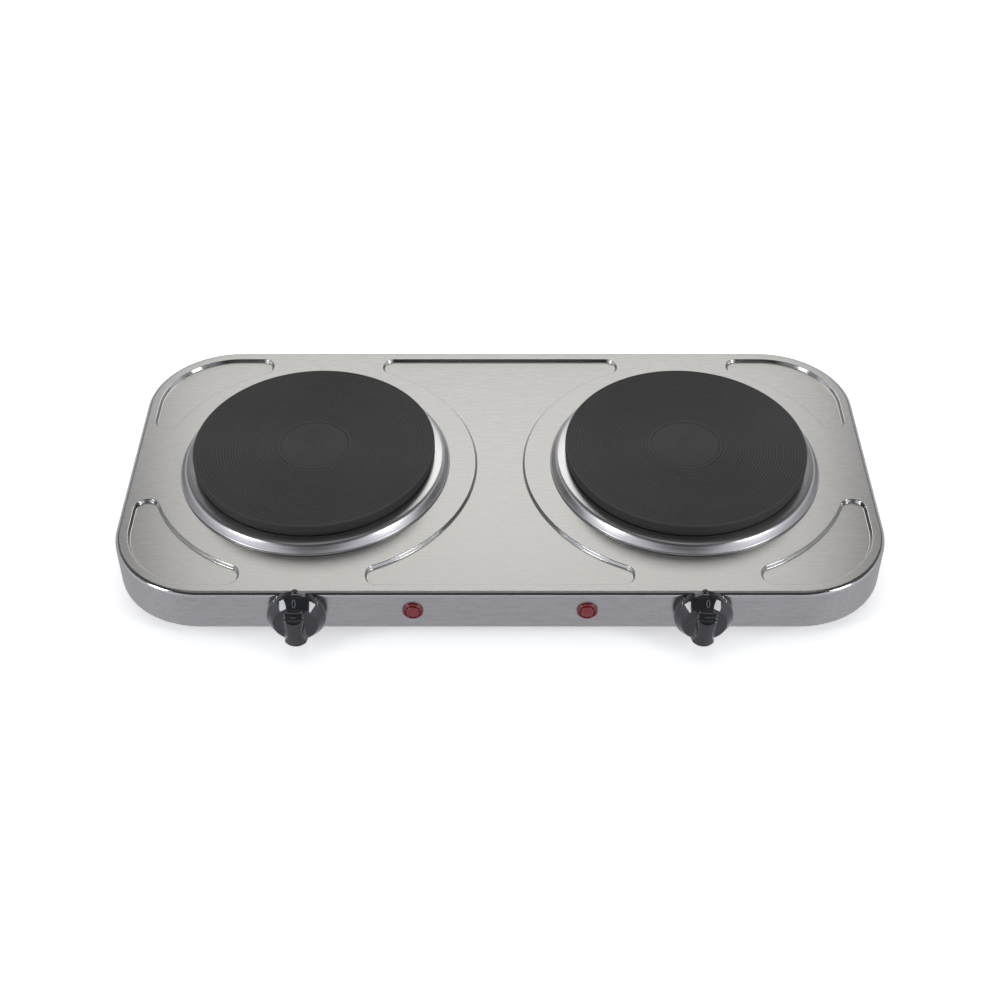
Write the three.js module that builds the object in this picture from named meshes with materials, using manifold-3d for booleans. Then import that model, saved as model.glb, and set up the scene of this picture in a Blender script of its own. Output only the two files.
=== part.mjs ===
// A two-plate electric hot plate: a brushed steel tray with two cast iron plates, each run by its
// own rotary switch and shown by its own pilot lamp. Millimetres, +Z up, front towards -Y.
// The origin is on the table, under the middle of the whole object.
import * as THREE from 'three';
import { mergeVertices } from 'three/addons/utils/BufferGeometryUtils.js';
import Module from 'manifold-3d';

const wasm = await Module();
wasm.setup();

// ---------- driving dimensions ----------
const GAP = 0.3; // left between pieces that touch on the real object
const EPS = 1; // how far a cutter runs past the face that it opens

// tray
const WIDTH = 477;
const DEPTH = 237;
const CORNER_R = 57.3;
const WALL_H = 28.3; // from the wall's lower edge to the tray's top face
const SHEET = 1;
const FOLD_R = 2;

// embossed panels in the tray's top
const PANEL_EDGE = 7.7; // from the tray's side to the panel
const PANEL_ARC_R = 103.5; // inner edge, round the plate's axis
const PANEL_DEPTH = 1.9;
const PANEL_SLOPE = 1.3;
const PANEL_END_R = 6;
const PANEL_END_X = 38; // every panel ends this far to either side of a plate's axis
const CRESCENT_END_Y = 34.8;

// plates
const PLATE_X = 119.5;
const PLATE_R = 77.5;
const PLATE_RISE = 16; // top of the plate above the tray
const PLATE_RIM_LOW = 10.3; // lower edge of the rim
const PLATE_NECK_R = 76.4;
const PLATE_SHOULDER = 7.6;
const PLATE_BODY_R = 71.5;
const PLATE_BODY_LOW = -2;
const PLATE_BOSS_R = 14;
const PLATE_WALL_R = 63;
const PLATE_POCKET = 6;
const PLATE_HOLE_R = 74; // hole in the tray

// front fittings, each on the front wall
const KNOB_X = 121.75;
const KNOB_Z = 14.5; // above the wall's lower edge
const LAMP_X = 52.35;
const LAMP_R = 6.35;
const BEZEL_R = 16.6;
const KNOB_REACH = 20; // front of the grip from the wall
const SPINDLE_R = 3;
const SWITCH_SIZE = { x: 42, y: 26, z: 23 };
const SWITCH_SCREW_X = 12.2;
const RIGHT_KNOB_TURN = THREE.MathUtils.degToRad(4); // the right knob stands a little past off

// feet and rear gland
const FOOT_H = 10;
const FOOT_R = 12;
const FOOT_X = 190;
const FOOT_Y = 85;
const GLAND_REACH = 8;
const GLAND_BORE_R = 3.9;

// base plate
const BASE_SHEET = 1;
const TAB_X = 165;

// ---------- levels and places worked out from them ----------
const Y0 = (KNOB_REACH - GLAND_REACH) / 2; // middle of the tray
const TOP = FOOT_H + WALL_H; // the tray's top face
const FRONT = Y0 - DEPTH / 2;
const REAR = Y0 + DEPTH / 2;
const AXIS_Z = FOOT_H + KNOB_Z;
const LAMP_Z = FOOT_H + WALL_H / 2;
const BASE_LOW = FOOT_H + GAP;
const BASE_TOP = BASE_LOW + BASE_SHEET;
const TAB_Y = DEPTH / 2 - SHEET - 7;

const ROUND = 32; // sides of a large round piece
const SMALL = 12; // sides of a small one
const ARC_ERROR = 0.12; // furthest that a drawn outline strays from its true arc

// ---------- materials ----------
const material = (color, roughness, metalness, more = {}) =>
  new THREE.MeshStandardMaterial({ color, roughness, metalness, ...more });
const brushedSteel = material(0xc4c3bf, 0.38, 1);
const ringSteel = material(0xcfcfd4, 0.18, 1);
const galvanised = material(0xa4a8aa, 0.5, 1);
const castIron = material(0x2b2b2c, 0.75, 0.3);
const blackPlastic = material(0x0b0c0e, 0.12, 0);
const redLens = material(0x7a1418, 0.15, 0, { transparent: true, opacity: 0.8 });
const rubber = material(0x151515, 0.9, 0);
const zincSteel = material(0xb9bcc0, 0.35, 1);
const ceramic = material(0xe9e4d8, 0.7, 0);
const cement = material(0x9a948a, 0.95, 0);
const fibre = material(0x8c8a84, 0.95, 0);
const switchPlastic = material(0xdedad0, 0.5, 0);
const lead = material(0xd8d2c4, 0.6, 0);

// ---------- geometry helpers ----------
// Position-only, welded, without empty triangles, and facing outwards.
function closed(geometry) {
  const bare = geometry.clone();
  bare.deleteAttribute('normal');
  bare.deleteAttribute('uv');
  const welded = mergeVertices(bare, 1e-4);
  const old = welded.index.array;
  const position = welded.attributes.position;
  const index = [];
  let volume = 0;
  const [a, b, c] = [new THREE.Vector3(), new THREE.Vector3(), new THREE.Vector3()];
  for (let i = 0; i < old.length; i += 3) {
    const [p, q, r] = [old[i], old[i + 1], old[i + 2]];
    if (p === q || q === r || r === p) continue;
    index.push(p, q, r);
    a.fromBufferAttribute(position, p);
    b.fromBufferAttribute(position, q);
    c.fromBufferAttribute(position, r);
    volume += a.dot(b.cross(c));
  }
  welded.setIndex(volume < 0 ? index.reverse() : index);
  return welded;
}

function solid(geometry) {
  const whole = closed(geometry);
  return new wasm.Manifold(new wasm.Mesh({
    numProp: 3,
    vertProperties: Float32Array.from(whole.attributes.position.array),
    triVerts: Uint32Array.from(whole.index.array),
  }));
}

function geometryOf(manifold) {
  const mesh = manifold.getMesh();
  const geometry = new THREE.BufferGeometry();
  geometry.setAttribute('position', new THREE.BufferAttribute(mesh.vertProperties, 3));
  geometry.setIndex(new THREE.BufferAttribute(mesh.triVerts, 1));
  return geometry;
}

const cut = (geometry, ...tools) =>
  geometryOf(tools.reduce((whole, tool) => whole.subtract(solid(tool)), solid(geometry)));
const join = (geometry, ...others) =>
  geometryOf(others.reduce((whole, other) => whole.add(solid(other)), solid(geometry)));

const box = (x, y, z, width, depth, height) =>
  new THREE.BoxGeometry(width, depth, height).translate(x, y, z + height / 2);

// A profile of [radius, height] pairs turned about +Z.
function turned(profile, sides = ROUND) {
  const points = profile.map(([r, h]) => new THREE.Vector2(r, h));
  return closed(new THREE.LatheGeometry(points, sides).rotateX(Math.PI / 2));
}

// The same profile turned about -Y, so that its heights run forwards.
const turnedForward = (profile, sides = ROUND) =>
  closed(new THREE.LatheGeometry(profile.map(([r, t]) => new THREE.Vector2(r, t)), sides)
    .rotateX(Math.PI));

const rod = (r, low, high, sides = SMALL) => turned([[0, low], [r, low], [r, high], [0, high]], sides);
const rodForward = (r, from, to, sides = SMALL) =>
  turnedForward([[0, from], [r, from], [r, to], [0, to]], sides);

function extruded(shape, low, high) {
  return closed(new THREE.ExtrudeGeometry(shape, {
    depth: high - low, bevelEnabled: false,
  }).translate(0, 0, low));
}

// Both ends are drawn in by the bevel, and the outline is full between them.
function bevelled(shape, low, high, size, thickness, segments, curveSegments = 4) {
  return closed(new THREE.ExtrudeGeometry(shape, {
    depth: high - low - 2 * thickness,
    bevelEnabled: true,
    bevelSize: size,
    bevelOffset: -size,
    bevelThickness: thickness,
    bevelSegments: segments,
    curveSegments,
  }).translate(0, 0, low + thickness));
}

// Points along an arc of centre x, y, radius r, between two angles in either direction.
function arc(x, y, r, from, to, steps = Math.ceil(Math.abs(to - from) / (2 * Math.acos(1 - ARC_ERROR / r)))) {
  return Array.from({ length: steps + 1 }, (_, i) => {
    const angle = from + ((to - from) * i) / steps;
    return new THREE.Vector2(x + r * Math.cos(angle), y + r * Math.sin(angle));
  });
}

function roundedRect(width, depth, r, steps) {
  const [x, y] = [width / 2 - r, depth / 2 - r];
  const centres = [[x, y], [-x, y], [-x, -y], [x, -y]];
  return new THREE.Shape(centres.flatMap(([cx, cy], i) =>
    arc(cx, cy, r, (i * Math.PI) / 2, ((i + 1) * Math.PI) / 2, steps)));
}

// A round tube through the points, with a flat end at each side.
function wire(points, r, steps = 12, sides = 5) {
  const path = new THREE.CatmullRomCurve3(points.map((p) => new THREE.Vector3(...p)));
  const section = new THREE.Shape();
  for (let i = 0; i < sides; i++) {
    const angle = (2 * Math.PI * i) / sides;
    const [x, y] = [r * Math.cos(angle), r * Math.sin(angle)];
    if (i === 0) section.moveTo(x, y);
    else section.lineTo(x, y);
  }
  return closed(new THREE.ExtrudeGeometry(section, { steps, extrudePath: path }));
}

// A screw along +Z: its head below, its shank up from it.
function screw(headR, headH, shankR, length) {
  return turned([
    [0, -headH], [headR * 0.8, -headH], [headR, -headH / 2], [headR, 0],
    [shankR, 0], [shankR, length], [0, length],
  ], 8);
}

// ---------- the object ----------
const model = new THREE.Group();

function add(name, geometry, look, x = 0, y = 0, z = 0) {
  const mesh = new THREE.Mesh(geometry, look);
  mesh.name = name;
  mesh.position.set(x, y, z);
  model.add(mesh);
  return mesh;
}

// One corner panel: outside edges follow the tray, the inside edge follows the plate.
// mx and my are 1 or -1, for the corner.
function crescentShape(mx, my, grow) {
  const [side, back] = [WIDTH / 2 - PANEL_EDGE + grow, DEPTH / 2 - PANEL_EDGE + grow];
  const cornerR = CORNER_R - PANEL_EDGE + grow;
  const arcR = PANEL_ARC_R - grow;
  const endR = PANEL_END_R + grow;
  const endX = PLATE_X + PANEL_END_X + PANEL_END_R; // centre of the rounding near the middle
  const lowY = CRESCENT_END_Y + PANEL_END_R;
  const innerY = Math.sqrt((arcR + endR) ** 2 - (endX - PLATE_X) ** 2);
  const innerX = PLATE_X + Math.sqrt((arcR + endR) ** 2 - lowY ** 2);
  const nearAngle = Math.atan2(innerY, endX - PLATE_X);
  const farAngle = Math.atan2(lowY, innerX - PLATE_X);
  const outline = [
    ...arc(side - cornerR, back - cornerR, cornerR, 0, Math.PI / 2),
    ...arc(endX, back - endR, endR, Math.PI / 2, Math.PI),
    ...arc(endX, innerY, endR, Math.PI, Math.PI + nearAngle),
    ...arc(PLATE_X, 0, arcR, nearAngle, farAngle).slice(1, -1),
    ...arc(innerX, lowY, endR, Math.PI + farAngle, 1.5 * Math.PI),
    ...arc(side - endR, lowY, endR, 1.5 * Math.PI, 2 * Math.PI),
  ];
  return new THREE.Shape(outline.map((p) => new THREE.Vector2(mx * p.x, my * p.y)));
}

// The middle panel, waisted between the two plates.
function middleShape(grow) {
  const back = DEPTH / 2 - PANEL_EDGE + grow;
  const arcR = PANEL_ARC_R - grow;
  const endR = PANEL_END_R + grow;
  const endX = PLATE_X - PANEL_END_X - PANEL_END_R;
  const innerY = Math.sqrt((arcR + endR) ** 2 - (PLATE_X - endX) ** 2);
  const angle = Math.atan2(innerY, PLATE_X - endX);
  const half = [
    ...arc(endX, -innerY, endR, 0, angle),
    ...arc(PLATE_X, 0, arcR, Math.PI + angle, Math.PI - angle).slice(1, -1),
    ...arc(endX, innerY, endR, -angle, 0),
    ...arc(endX, back - endR, endR, 0, Math.PI / 2),
    ...arc(-endX, back - endR, endR, Math.PI / 2, Math.PI),
  ];
  return new THREE.Shape([...half, ...half.map((p) => new THREE.Vector2(-p.x, -p.y))]);
}

const panelShapes = (grow) => [
  middleShape(grow),
  ...[[1, 1], [-1, 1], [-1, -1], [1, -1]].map(([mx, my]) => crescentShape(mx, my, grow)),
];

// Drawn steel tray, open below, with the embossed panels, its holes and four screw tabs.
function topHousing() {
  const outer = bevelled(roundedRect(WIDTH, DEPTH, CORNER_R), -FOLD_R, WALL_H, FOLD_R, FOLD_R, 2);
  const inner = extruded(
    roundedRect(WIDTH - 2 * SHEET, DEPTH - 2 * SHEET, CORNER_R - SHEET), -FOLD_R - EPS, WALL_H - SHEET);
  const backs = panelShapes(0.6).map((shape) =>
    extruded(shape, WALL_H - SHEET - PANEL_DEPTH, WALL_H + EPS));
  const recesses = panelShapes(0).map((shape) =>
    bevelled(shape, WALL_H - PANEL_DEPTH, WALL_H + 2 * PANEL_DEPTH, PANEL_SLOPE, PANEL_DEPTH, 1));
  const below = box(0, 0, -FOLD_R - 2 * EPS, WIDTH + 10, DEPTH + 10, FOLD_R + 2 * EPS);
  const plateHoles = [-PLATE_X, PLATE_X].map((x) =>
    rod(PLATE_HOLE_R, WALL_H / 2, WALL_H + EPS, ROUND).translate(x, 0, 0));
  const frontHoles = [];
  for (const side of [-1, 1]) {
    frontHoles.push(wallHole(side * KNOB_X, KNOB_Z, 5, -1), wallHole(side * LAMP_X, WALL_H / 2, 5.3, -1));
    for (const across of [-1, 1]) {
      frontHoles.push(wallHole(side * KNOB_X + across * SWITCH_SCREW_X, KNOB_Z, 2.3, -1));
    }
  }
  const rearHole = wallHole(0, WALL_H / 2, 6.8, 1);
  const cavity = cut(inner, ...backs);
  const tray = cut(outer, below, cavity, ...recesses, ...plateHoles, ...frontHoles, rearHole);
  return join(tray, ...screwTabs());
}

// A round cutter through the front wall (-1) or the rear wall (1).
function wallHole(x, z, r, side) {
  return rodForward(r, -3 * SHEET, 3 * SHEET).translate(x, side * (DEPTH / 2 - SHEET / 2), z);
}

function screwTabs() {
  const [size, thick] = [14, 1.2];
  const low = BASE_TOP + GAP - FOOT_H;
  return tabPlaces().map(([x, y]) => {
    const plate = box(x, y + Math.sign(y) * 0.5, low, size, size + 1, thick);
    return cut(plate, rod(1.9, low - EPS, low + thick + EPS, 12).translate(x, y, 0));
  });
}

const tabPlaces = () => [[-1, -1], [1, -1], [-1, 1], [1, 1]].map(([mx, my]) => [mx * TAB_X, my * TAB_Y]);
const footPlaces = () => [[-1, -1], [1, -1], [-1, 1], [1, 1]].map(([mx, my]) => [mx * FOOT_X, my * FOOT_Y]);
const EARTH = { x: 34, y: 84 };

// Flat closing sheet with slots under each plate.
function basePlate() {
  const inset = SHEET + GAP;
  const sheet = extruded(
    roundedRect(WIDTH - 2 * inset, DEPTH - 2 * inset, CORNER_R - inset), BASE_LOW, BASE_TOP);
  const through = (r) => rod(r, BASE_LOW - EPS, BASE_TOP + EPS, 12);
  const holes = [
    ...footPlaces().map(([x, y]) => through(2.3).translate(x, y, 0)),
    ...tabPlaces().map(([x, y]) => through(2.1).translate(x, y, 0)),
    through(2.3).translate(EARTH.x, EARTH.y, 0),
  ];
  const slot = extruded(roundedRect(3.4, 56, 1.6, 2), BASE_LOW - EPS, BASE_TOP + EPS);
  for (const side of [-1, 1]) {
    for (let i = -2; i <= 2; i++) holes.push(slot.clone().translate(side * PLATE_X + i * 14, 0, 0));
  }
  return cut(sheet, ...holes);
}

// Cast plate: flat top, rim that stands over the ring, and a body that drops through the tray.
function hotplate() {
  const edge = 0.7;
  const plate = turned([
    [0, PLATE_BODY_LOW], [PLATE_BOSS_R, PLATE_BODY_LOW], [PLATE_BOSS_R, PLATE_POCKET],
    [PLATE_WALL_R, PLATE_POCKET], [PLATE_WALL_R, PLATE_BODY_LOW], [PLATE_BODY_R, PLATE_BODY_LOW],
    [PLATE_BODY_R, PLATE_SHOULDER], [PLATE_NECK_R, PLATE_SHOULDER],
    [PLATE_NECK_R, PLATE_RIM_LOW - edge], [PLATE_R, PLATE_RIM_LOW], [PLATE_R, PLATE_RISE - edge],
    [PLATE_R - edge, PLATE_RISE], [0, PLATE_RISE],
  ]);
  return cut(plate, rod(SPINDLE_R + GAP, PLATE_BODY_LOW - EPS, 5, 12));
}

// Cement ring that holds the heating wire in the plate's pocket.
function heatingElement() {
  const [inner, outer] = [PLATE_BOSS_R + GAP, PLATE_WALL_R - GAP];
  const [low, high] = [PLATE_BODY_LOW + GAP, PLATE_POCKET - GAP];
  return turned([[inner, low], [outer, low], [outer, high], [inner, high], [inner, low]], 24);
}

// Rolled sheet ring: flat band beside the plate, round shoulder, skirt down to the tray.
function spillRing() {
  return turned([
    [73.4, 6.5], [82.4, 5.4], [84.9, 1.2], [85.6, 0.3], [86.9, 0.3], [86.9, 0.7],
    [85.1, 3.9], [83.2, 6.2], [77.8, 7.1], [73.4, 7.3], [73.4, 6.5],
  ]);
}

function plateGasket() {
  return turned([[75, GAP], [79.5, GAP], [79.5, 5.4], [75, 5.9], [75, GAP]], 24);
}

// Pan under the plate that keeps the heat from the base.
function heatShield() {
  return turned([
    [4, -8.5], [66, -8.5], [68, -6.5], [68, -2.4], [67.2, -2.4], [67.2, -6.2],
    [65.6, -7.7], [4, -7.7], [4, -8.5],
  ], 24);
}

// Bent strap under the hole's edges that the stud pulls down on.
function clampBridge() {
  const [half, drop, thick, wide] = [86, 12.5, 1.5, 18];
  const [inner, top] = [77, -SHEET - GAP];
  const side = new THREE.Shape();
  side.moveTo(-half, top);
  side.lineTo(-inner, top);
  side.lineTo(-inner + 6, -drop + thick);
  side.lineTo(inner - 6, -drop + thick);
  side.lineTo(inner, top);
  side.lineTo(half, top);
  side.lineTo(half, top - thick);
  side.lineTo(inner + 0.9, top - thick);
  side.lineTo(inner - 5.1, -drop);
  side.lineTo(-inner + 5.1, -drop);
  side.lineTo(-inner - 0.9, top - thick);
  side.lineTo(-half, top - thick);
  side.closePath();
  const strap = extruded(side, -wide / 2, wide / 2).rotateX(Math.PI / 2);
  return cut(strap, rod(SPINDLE_R + 0.4, -drop - EPS, -drop + thick + EPS, 12));
}

const plateStud = () => turned([
  [0, -20], [2.2, -20], [SPINDLE_R, -19], [SPINDLE_R, 4.7], [0, 4.7],
], 8);

const hexNut = (across, low, high, bore) =>
  cut(rod(across / 2 / Math.cos(Math.PI / 6), low, high, 6), rod(bore, low - EPS, high + EPS, 12));

// Two-way ceramic block with a screw well over each lead.
function plateTerminal() {
  const block = box(0, 0, -18, 26, 14, 9.2);
  const wells = [-6, 6].map((x) => rod(2.6, -18 - EPS, -13, 12).translate(x, 0, 0));
  return cut(block, ...wells);
}

// Everything that belongs to one plate, on its axis at the tray's top face.
function plateSet(side, x) {
  const at = [x, Y0, TOP];
  add(`${side}_hotplate`, hotplate(), castIron, ...at);
  add(`${side}_heating_element`, heatingElement(), cement, ...at);
  add(`${side}_spill_ring`, spillRing(), ringSteel, ...at);
  add(`${side}_plate_gasket`, plateGasket(), fibre, ...at);
  add(`${side}_heat_shield`, heatShield(), galvanised, ...at);
  add(`${side}_clamp_bridge`, clampBridge(), galvanised, ...at);
  add(`${side}_plate_stud`, plateStud(), zincSteel, ...at);
  add(`${side}_stud_nut`, hexNut(10, -17.8, -12.8, SPINDLE_R + GAP), zincSteel, ...at);
  add(`${side}_plate_terminal`, plateTerminal(), ceramic, x, Y0 + 42, TOP);
}

// Round cover against the wall, hollow behind over the screw heads, with its index nub.
function knobBezel() {
  const cover = turnedForward([
    [4.4, 0.3], [7, 0.3], [7, 2.5], [BEZEL_R - 0.9, 2.5], [BEZEL_R - 0.9, 0.3], [BEZEL_R, 0.3],
    [BEZEL_R, 2.6], [BEZEL_R - 0.7, 3.3], [4.4, 3.3], [4.4, 0.3],
  ], 24);
  const nub = new THREE.SphereGeometry(1.9, 8, 6).scale(1, 0.85, 1).translate(0, -1.9, BEZEL_R);
  return join(cover, nub);
}

// Waisted grip outline, seen from the front; wider at its lower end.
function gripShape() {
  const [top, low, topHalf, lowHalf, waist] = [9.6, 11.3, 6.2, 6.8, 3.6];
  const shape = new THREE.Shape();
  shape.moveTo(-lowHalf, -low + 1.2);
  shape.quadraticCurveTo(0, -low - 1.2, lowHalf, -low + 1.2);
  shape.quadraticCurveTo(waist, -1, topHalf, top - 0.6);
  shape.quadraticCurveTo(0, top + 0.6, -topHalf, top - 0.6);
  shape.quadraticCurveTo(-waist, -1, -lowHalf, -low + 1.2);
  return shape;
}

// Turned skirt and cone, with a grip across it and a blind socket for the spindle.
function knob() {
  const skirt = turnedForward([
    [0, 3.7], [17.8, 3.7], [17.4, 6.7], [13.6, 11.7], [13.1, 12], [0, 12],
  ], 24);
  const grip = bevelled(gripShape(), 11, KNOB_REACH, 0.8, 0.8, 2, 6).rotateX(Math.PI / 2);
  const socket = rodForward(SPINDLE_R + GAP, 3.7 - EPS, 14);
  return cut(join(skirt, grip), socket);
}

// Box behind the wall with push-on tabs at the rear and a bore for the spindle.
function rotarySwitch() {
  const { x, y, z } = SWITCH_SIZE;
  const body = box(0, y / 2, -11.5, x, y, z);
  const tabs = [-15, -5, 5, 15].map((at) => box(at, y + 2.9, -3, 0.8, 6.2, 6.3));
  const bore = rodForward(SPINDLE_R + GAP, -12, EPS);
  const screwBores = [-1, 1].map((across) =>
    rodForward(2 + GAP, -9, EPS, 12).translate(across * SWITCH_SCREW_X, 0, 0));
  return cut(join(body, ...tabs), bore, ...screwBores);
}

function pilotLens() {
  return turnedForward([
    [0, 1.2], [4.9, 1.2], [4.9, 0.3], [LAMP_R, 0.3], [LAMP_R, 1.3], [5.8, 1.9], [4.6, 1.9],
    [4.2, 1.6], [2.8, 2.3], [0, 2.6],
  ], 16);
}

// Lamp holder behind the lens, through the wall.
const pilotBody = () => turnedForward([
  [0, -22], [3.6, -22], [4.9, -20.5], [4.9, 0], [4.6, 0.9], [0, 0.9],
], SMALL);

// Switch, knob and lamp of one plate, from the outer face of the front wall.
function controlSet(side, mirror) {
  const [knobX, lampX] = [mirror * KNOB_X, mirror * LAMP_X];
  const behind = FRONT + SHEET + GAP;
  add(`${side}_knob_bezel`, knobBezel(), blackPlastic, knobX, FRONT, AXIS_Z);
  const turnedKnob = add(`${side}_knob`, knob(), blackPlastic, knobX, FRONT, AXIS_Z);
  turnedKnob.rotation.y = side === 'right' ? RIGHT_KNOB_TURN : 0;
  add(`${side}_spindle`, rodForward(SPINDLE_R, -12, 13.6), zincSteel, knobX, FRONT, AXIS_Z);
  add(`${side}_switch`, rotarySwitch(), switchPlastic, knobX, behind, AXIS_Z);
  for (const [place, across] of [['left', -1], ['right', 1]]) {
    const bolt = screw(3.1, 1.7, 2, 8).rotateX(-Math.PI / 2).translate(0, -GAP, 0);
    add(`${side}_switch_screw_${place}`, bolt, zincSteel, knobX + across * SWITCH_SCREW_X, FRONT, AXIS_Z);
  }
  add(`${side}_pilot_lens`, pilotLens(), redLens, lampX, FRONT, LAMP_Z);
  add(`${side}_pilot_body`, pilotBody(), switchPlastic, lampX, FRONT, LAMP_Z);
}

// Moulded bush through the rear wall, with an open bore for the supply cord.
function cordGland() {
  return turnedForward([
    [GLAND_BORE_R, -GLAND_REACH], [5.6, -GLAND_REACH], [6.4, -GLAND_REACH + 1], [7, -2.6],
    [9.5, -2.6], [9.5, -0.3], [6.4, -0.3], [6.4, 12], [GLAND_BORE_R, 12], [GLAND_BORE_R, -GLAND_REACH],
  ], 16);
}

function mainsTerminal() {
  const block = box(0, 0, 0, 40, 16, 12);
  const wells = [-13, 0, 13].map((x) => rod(2.8, 7, 12 + EPS, 12).translate(x, 0, 0));
  return cut(block, ...wells);
}

// Rubber foot, wider below, with a deep seat for its screw.
const foot = () => turned([
  [2.3, 5.2], [5, 5.2], [5, 0], [FOOT_R - 0.8, 0], [FOOT_R, 0.9], [FOOT_R - 1.6, FOOT_H],
  [2.3, FOOT_H], [2.3, 5.2],
], 16);

function baseSet() {
  add('base_plate', basePlate(), galvanised, 0, Y0, 0);
  const corners = ['front_left', 'front_right', 'rear_left', 'rear_right'];
  footPlaces().forEach(([x, y], i) => {
    add(`${corners[i]}_foot`, foot(), rubber, x, Y0 + y, 0);
    add(`${corners[i]}_foot_screw`, screw(4.2, 2.4, 2, 10.5), zincSteel, x, Y0 + y, 4.9);
  });
  tabPlaces().forEach(([x, y], i) => {
    add(`${corners[i]}_base_screw`, screw(3.4, 1.7, 1.6, 7), zincSteel, x, Y0 + y, BASE_LOW - GAP);
  });
}

function supplySet() {
  add('cord_gland', cordGland(), rubber, 0, REAR, LAMP_Z);
  const nut = cut(rod(10, 1.3, 5.3, 6), rod(6.7, 0, 6.6, 20)).rotateX(Math.PI / 2);
  add('gland_nut', nut, blackPlastic, 0, REAR, LAMP_Z);
  add('mains_terminal', mainsTerminal(), switchPlastic, 0, Y0 + 84, BASE_TOP + GAP);
  const earth = screw(4, 2.2, 2, 6).rotateX(Math.PI);
  add('earth_screw', earth, zincSteel, EARTH.x, Y0 + EARTH.y, BASE_TOP + GAP);
}

// Insulated leads inside the tray, clear of the pans, straps and nuts.
function leadSet(side, mirror) {
  const place = (points) => points.map(([x, y, z]) => [mirror * x, Y0 + y, z]);
  const [low, mid] = [BASE_TOP + 3, AXIS_Z - 1];
  const switchRear = -DEPTH / 2 + SHEET + 2 * GAP + SWITCH_SIZE.y + 7.2;
  add(`${side}_element_lead`, wire(place([
    [KNOB_X + 5, switchRear, mid], [144, -66, low + 2], [146, 0, low], [134, 20, low + 2],
    [PLATE_X + 6, 33, TOP - 14],
  ]), 1.4), lead);
  add(`${side}_supply_lead`, wire(place([
    [13, 74, BASE_TOP + 5], [20, 52, low], [22, -30, low], [70, -58, low], [110, -66, low + 2],
    [KNOB_X - 5, switchRear, mid],
  ]), 1.4), lead);
  add(`${side}_lamp_lead`, wire(place([
    [LAMP_X, -DEPTH / 2 + 23.4, LAMP_Z], [58, -86, LAMP_Z - 2], [86, -82, LAMP_Z - 3],
    [KNOB_X - 15, switchRear, mid],
  ]), 1.2), lead);
}

add('top_housing', topHousing(), brushedSteel, 0, Y0, FOOT_H);
baseSet();
supplySet();
for (const [side, mirror] of [['left', -1], ['right', 1]]) {
  plateSet(side, mirror * PLATE_X);
  controlSet(side, mirror);
  leadSet(side, mirror);
}

export default model;
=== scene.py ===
"""Two-plate electric hot plate: fine visible meshes, materials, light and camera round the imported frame."""
import math

import bmesh
import bpy
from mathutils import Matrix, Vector
from mathutils.geometry import tessellate_polygon


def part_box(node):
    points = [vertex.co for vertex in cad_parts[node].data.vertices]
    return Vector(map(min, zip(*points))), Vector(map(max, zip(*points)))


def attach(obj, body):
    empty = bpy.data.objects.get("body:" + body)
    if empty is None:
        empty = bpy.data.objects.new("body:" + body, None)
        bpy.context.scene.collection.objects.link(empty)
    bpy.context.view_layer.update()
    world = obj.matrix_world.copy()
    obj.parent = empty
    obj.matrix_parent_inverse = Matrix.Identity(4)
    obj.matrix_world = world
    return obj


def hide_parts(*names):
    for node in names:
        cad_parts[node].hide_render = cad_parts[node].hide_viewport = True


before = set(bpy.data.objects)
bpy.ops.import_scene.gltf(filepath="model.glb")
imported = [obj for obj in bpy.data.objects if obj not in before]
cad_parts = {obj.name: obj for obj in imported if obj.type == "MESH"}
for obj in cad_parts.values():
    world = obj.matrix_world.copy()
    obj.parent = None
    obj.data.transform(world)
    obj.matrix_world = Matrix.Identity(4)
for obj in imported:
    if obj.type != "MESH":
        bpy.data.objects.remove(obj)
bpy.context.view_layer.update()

MM = 0.001
TAU = 2 * math.pi
SIDES = (("left", -1), ("right", 1))
CORNERS = ("front_left", "front_right", "rear_left", "rear_right")
CABINET = "cabinet"


def box_mm(node):
    """Lowest and highest corner of a CAD node, in millimetres."""
    low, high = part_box(node)
    return low / MM, high / MM


def middle_mm(node):
    low, high = box_mm(node)
    return (low + high) / 2


# ---------- sizes in millimetres: places come from the frame, profiles are close to the CAD's ----------
TRAY_LOW, TRAY_HIGH = box_mm("top_housing")
WIDTH, DEPTH = (TRAY_HIGH - TRAY_LOW).x, (TRAY_HIGH - TRAY_LOW).y
MID_Y = middle_mm("top_housing").y
TOP, WALL_FOOT = TRAY_HIGH.z, TRAY_LOW.z
FRONT, REAR = TRAY_LOW.y, TRAY_HIGH.y
CORNER_R = 57.3
FOLD_R = 2.7
SHEET = 0.9
SUPPORT = 0.4  # extra loops this near an edge keep the flat wall's shading even

PANEL_EDGE = 7.7  # from the tray's side to a panel
PANEL_ARC_R = 103.5  # a panel's inner edge, round the plate's axis
PANEL_DEPTH = 2.2
PANEL_STEEP = math.radians(63)
PANEL_ROUND = 0.55  # rounding of the lip and the foot of a panel's wall
PANEL_END_R = 8.0
PANEL_END_X = 38.0  # every panel ends this far to either side of a plate's axis
CRESCENT_END_Y = 34.8

SPINDLE_HOLE_R = 5.0
LAMP_HOLE_R = 5.3
SWITCH_SCREW_HOLE_R = 2.3
GLAND_HOLE_R = 6.8

PLATE_X = middle_mm("right_hotplate").x
PLATE_R = 77.5
PLATE_RISE = box_mm("right_hotplate")[1].z - TOP
PLATE_HOLE_R = 74.0
GROOVE_PITCH = 1.95
GROOVE_DEPTH = 0.36
DISC_R = 21.8  # flat centre disc
DISC_STEP = 0.52  # half the pitch of its fine lines
DISC_LINE = 0.26  # how deep they are

KNOB_REACH = FRONT - box_mm("right_knob")[0].y
RIGHT_KNOB_TURN = math.radians(4)


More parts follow.
